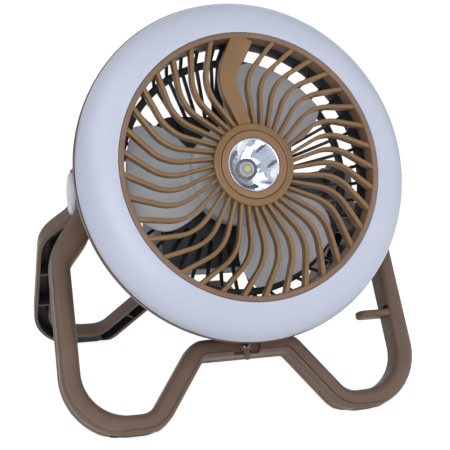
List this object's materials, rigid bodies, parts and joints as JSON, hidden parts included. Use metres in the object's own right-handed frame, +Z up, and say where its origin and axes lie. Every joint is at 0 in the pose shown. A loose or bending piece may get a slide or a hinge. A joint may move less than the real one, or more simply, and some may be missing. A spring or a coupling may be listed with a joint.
{
  "type": "portable camping fan",
  "caption": "Battery fan with a ring light and a spot lamp in its curved-rib grille, tilting between folding frames on rubber feet.",
  "frame": {"origin": "on the ground, directly under the pivot axis of the head and the two frames", "axes": "+Z up; the fan faces -Y and is tilted up; +X to the right when the fan is seen from the front, along the pivot axis"},
  "size_m": [0.2476, 0.2198, 0.2698],
  "materials": {
    "frame": "fine moulded texture, satin",
    "pad": "matt",
    "steel": "turned",
    "cap": "satin silver",
    "washer": "matt",
    "housing": "fine moulded texture",
    "diffuser": "frosted, translucent",
    "board": "solder mask, white",
    "grille": "satin",
    "bezel": "satin",
    "chrome": "polished",
    "led": "phosphor on a white carrier",
    "lens": "clear",
    "dark": "fine moulded texture",
    "rotor": "satin",
    "motor": "satin",
    "cell": "shrink sleeve",
    "pcb": "solder mask, green",
    "button": "satin",
    "indicator": "translucent",
    "socket": "plain"
  },
  "bodies": {
    "front_frame": {"front_frame": "frame", "pad_front_left": "pad", "pad_front_right": "pad", "bolt_left": "steel", "bolt_right": "steel", "cap_left": "cap", "cap_right": "cap", "latch_screw": "steel"},
    "rear_frame": {"rear_frame": "frame", "pad_rear_left": "pad", "pad_rear_right": "pad", "washer_left": "washer", "washer_right": "washer"},
    "head": {"head_housing": "housing", "diffuser_ring": "diffuser", "ring_board": "board", "front_grille": "grille", "hub_bezel": "bezel", "spot_cup": "grille", "spot_reflector": "chrome", "spot_led": "led", "spot_lens": "lens", "rear_grille": "dark", "motor_can": "motor", "pod_shell": "dark", "pod_cover": "dark", "battery_cells": "cell", "control_board": "pcb", "charge_indicator": "indicator", "charging_socket": "socket"},
    "rotor": {"fan_rotor": "rotor", "motor_shaft": "steel"},
    "latch": {"latch_tab": "bezel"},
    "fan_button": {"button_fan": "button"},
    "light_button": {"button_light": "button"}
  },
  "joints": [
    {"name": "head_tilt", "type": "hinge", "parent": "front_frame", "child": "head", "pos_m": [0, 0, 0.13982], "axis": [-1, 0, 0], "range_deg": [-9, 150]},
    {"name": "rear_frame_fold", "type": "hinge", "parent": "front_frame", "child": "rear_frame", "pos_m": [0, 0, 0.13982], "axis": [-1, 0, 0], "range_deg": [0, 64.5]},
    {"name": "fan_spin", "type": "hinge", "parent": "head", "child": "rotor", "pos_m": [0, 0, 0.13982], "axis": [0, -0.9455, 0.3256], "continuous": true},
    {"name": "latch_turn", "type": "hinge", "parent": "front_frame", "child": "latch", "pos_m": [0, -0.06955, 0.0419], "axis": [0, -0.8387, 0.5446], "range_deg": [-90, 90]},
    {"name": "fan_button_press", "type": "slide", "parent": "head", "child": "fan_button", "axis": [0, -0.9455, 0.3256], "range_m": [0, 0.0012], "stiffness_N_per_m": 900, "springref_m": -0.0008},
    {"name": "light_button_press", "type": "slide", "parent": "head", "child": "light_button", "axis": [0, -0.9455, 0.3256], "range_m": [0, 0.0012], "stiffness_N_per_m": 900, "springref_m": -0.0008}
  ]
}
